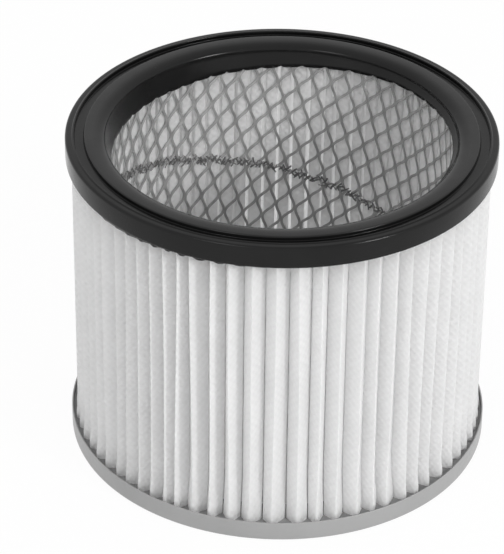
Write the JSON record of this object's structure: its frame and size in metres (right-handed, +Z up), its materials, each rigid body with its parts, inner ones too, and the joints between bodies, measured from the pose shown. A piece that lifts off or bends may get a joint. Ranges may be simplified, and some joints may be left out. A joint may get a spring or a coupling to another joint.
{
  "type": "vacuum cartridge filter",
  "caption": "Round pleated cartridge filter for a vacuum cleaner: a soft cast seal ring over white pleats, an expanded metal support tube inside and a closed metal end cap.",
  "frame": {"origin": "middle of the end cap's underside, on the surface that the filter stands on", "axes": "+Z up along the filter's axis, out of the seal ring's bore; X and Y are free round that axis"},
  "size_m": [0.16, 0.16, 0.1285],
  "materials": {
    "seal_ring": "matt black cast polyurethane",
    "pleated_media": "matt white embossed filter cloth",
    "support_mesh": "dull zinc-plated expanded metal",
    "end_cap": "satin grey coated sheet",
    "bottom_potting": "dull dark adhesive"
  },
  "bodies": {
    "root": {"seal_ring": "seal_ring", "pleated_media": "pleated_media", "support_mesh": "support_mesh", "end_cap": "end_cap", "bottom_potting": "bottom_potting"}
  },
  "joints": []
}
